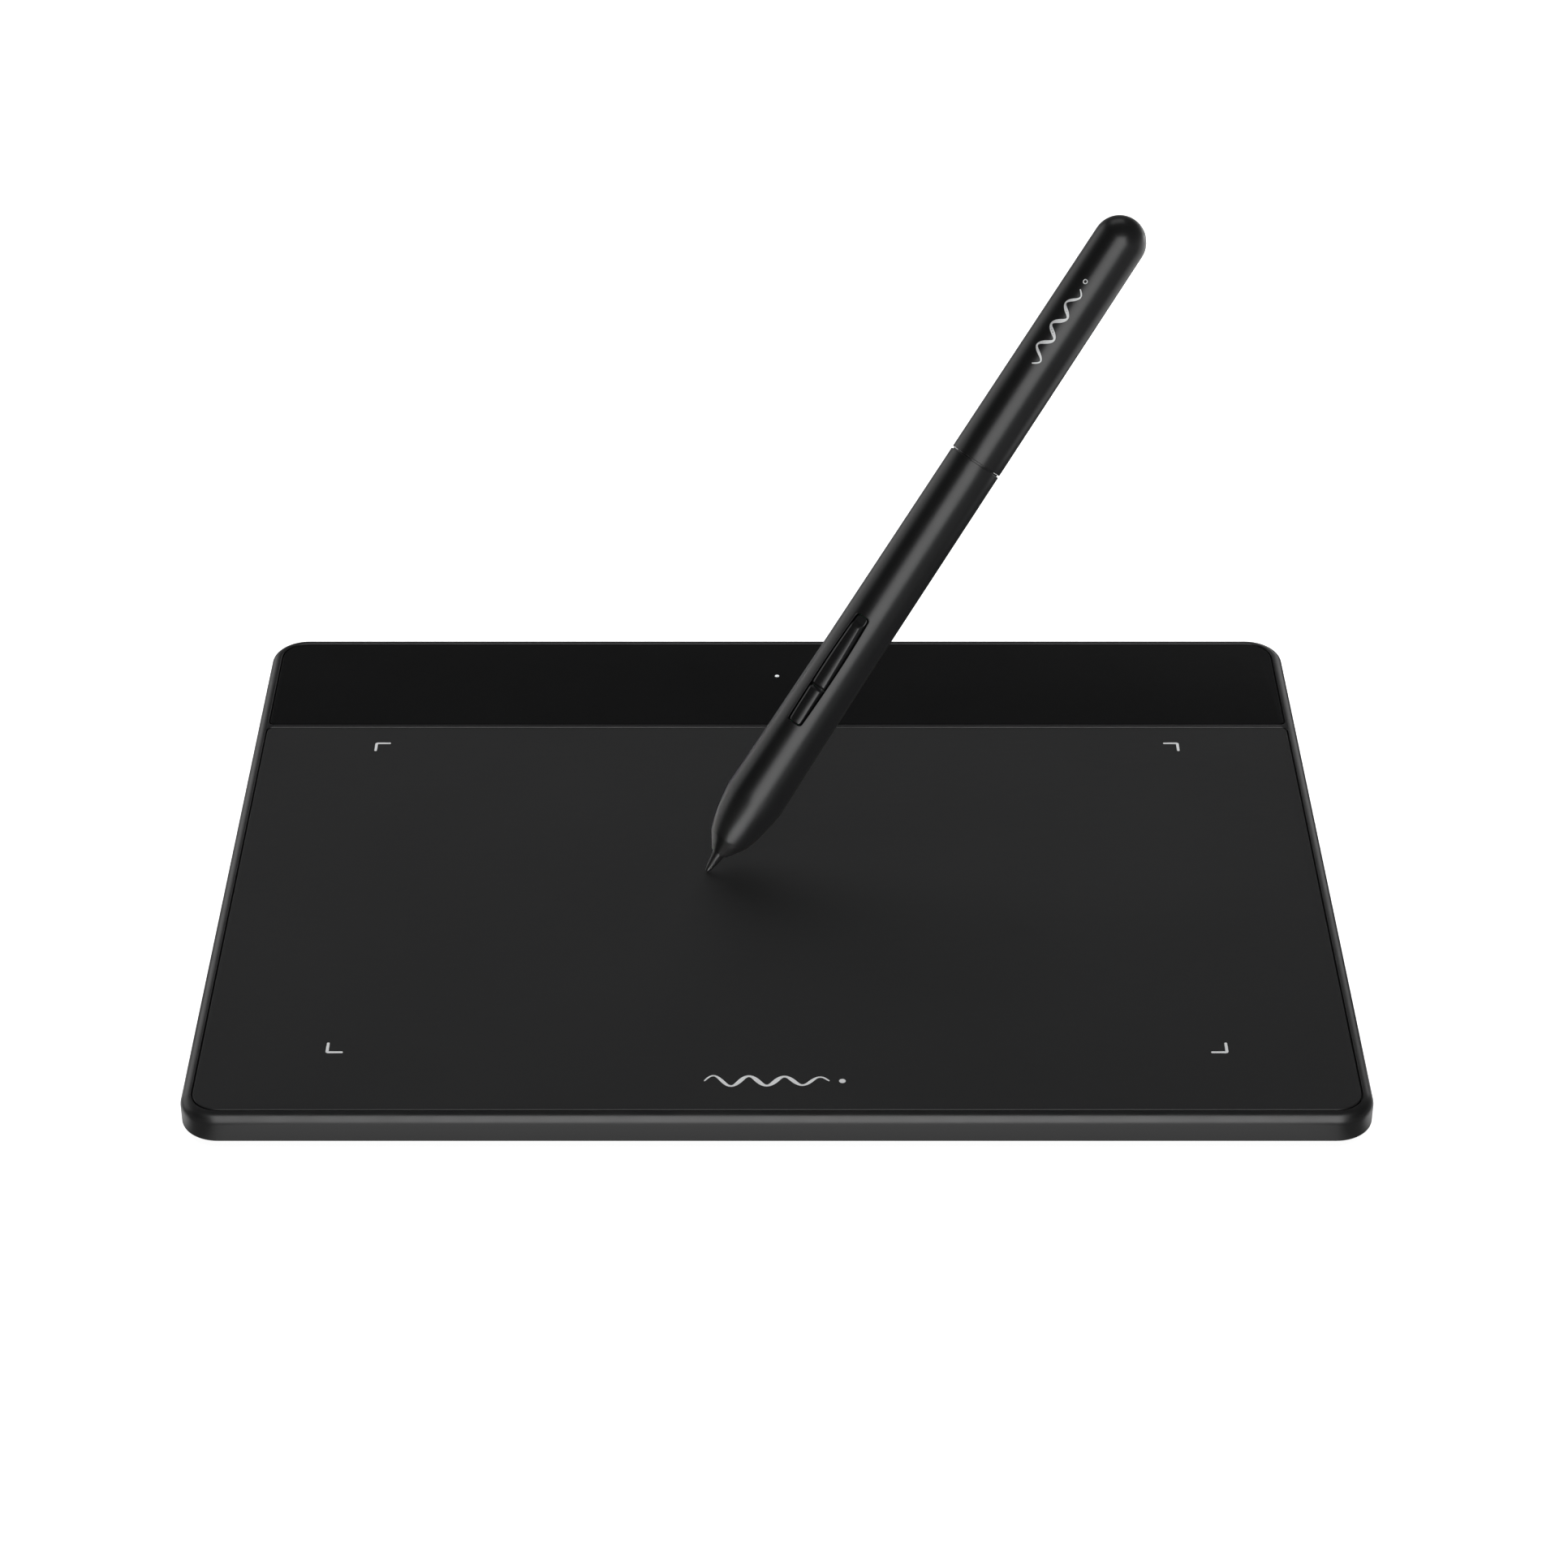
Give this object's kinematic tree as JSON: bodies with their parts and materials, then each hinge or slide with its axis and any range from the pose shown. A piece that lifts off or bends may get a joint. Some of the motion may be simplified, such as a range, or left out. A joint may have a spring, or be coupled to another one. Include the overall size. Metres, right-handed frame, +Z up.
{
  "type": "pen drawing tablet",
  "caption": "Slim pen drawing tablet with a flush drawing sheet, a dark panel beyond it, a reversible socket in the far edge, and a battery-free stylus with side keys standing on its nib.",
  "frame": {"origin": "centre of the tablet's footprint, which the leaning stylus stays within, on the plane that the rubber feet stand on", "axes": "+X to the user's right along the tablet's long side, +Y away from the user towards the socket, +Z up"},
  "size_m": [0.2086, 0.16, 0.1176],
  "materials": {
    "barrel_plastic": "soft satin, near black",
    "board_laminate": "green solder mask",
    "chip_epoxy": "black moulding compound",
    "coil_copper": "enamelled copper wire",
    "cover_plastic": "matte moulding, near black",
    "ferrite": "sintered, dark grey",
    "foot_rubber": "matte black",
    "housing_plastic": "fine-grained satin moulding, dark grey",
    "inner_plastic": "grey moulding",
    "key_plastic": "satin black",
    "light_plastic": "clear white",
    "nib_plastic": "smooth acetal, black",
    "panel_plastic": "smooth, black",
    "screw_steel": "blackened",
    "sheet_film": "fine tooth, matte, dark grey",
    "shield_metal": "bare sheet",
    "socket_steel": "bright nickel plate"
  },
  "bodies": {
    "tablet": {"top_housing": "housing_plastic", "bottom_cover": "cover_plastic", "drawing_sheet": "sheet_film", "top_panel": "panel_plastic", "status_light_pipe": "light_plastic", "status_lamp": "light_plastic", "sensor_board": "board_laminate", "shield_plate": "shield_metal", "controller_chip": "chip_epoxy", "analogue_chip": "chip_epoxy", "multiplexer_chip_left": "chip_epoxy", "multiplexer_chip_right": "chip_epoxy", "crystal": "shield_metal", "usb_socket_shell": "socket_steel", "usb_socket_insert": "chip_epoxy", "foot_near_left": "foot_rubber", "foot_near_right": "foot_rubber", "foot_far_left": "foot_rubber", "foot_far_right": "foot_rubber", "cover_screw_1": "screw_steel", "cover_screw_2": "screw_steel", "cover_screw_3": "screw_steel", "cover_screw_4": "screw_steel", "cover_screw_5": "screw_steel", "cover_screw_6": "screw_steel"},
    "pen": {"pen_front_barrel": "barrel_plastic", "pen_joint_ring": "inner_plastic", "pen_chassis": "inner_plastic", "pen_board": "board_laminate", "pen_controller_chip": "chip_epoxy", "pen_switch_lower": "chip_epoxy", "pen_switch_upper": "chip_epoxy", "ferrite_core": "ferrite", "pen_coil": "coil_copper", "pressure_sensor": "shield_metal"},
    "nib": {"nib": "nib_plastic", "nib_holder": "inner_plastic"},
    "lower_key": {"pen_key_lower": "key_plastic"},
    "upper_key": {"pen_key_upper": "key_plastic"},
    "pen_tail": {"pen_rear_barrel": "barrel_plastic"}
  },
  "joints": [
    {"name": "pen_lift", "type": "slide", "parent": "tablet", "child": "pen", "axis": [0, 0, 1], "range_m": [0, 0.1]},
    {"name": "nib_press", "type": "slide", "parent": "pen", "child": "nib", "axis": [0.546, 0.3748, 0.7493], "range_m": [0, 0.0008]},
    {"name": "lower_key_press", "type": "slide", "parent": "pen", "child": "lower_key", "axis": [0.3166, 0.7357, -0.5987], "range_m": [0, 0.00035]},
    {"name": "upper_key_press", "type": "slide", "parent": "pen", "child": "upper_key", "axis": [0.3166, 0.7357, -0.5987], "range_m": [0, 0.00035]},
    {"name": "tail_pull", "type": "slide", "parent": "pen", "child": "pen_tail", "axis": [0.546, 0.3748, 0.7493], "range_m": [0, 0.015]}
  ]
}
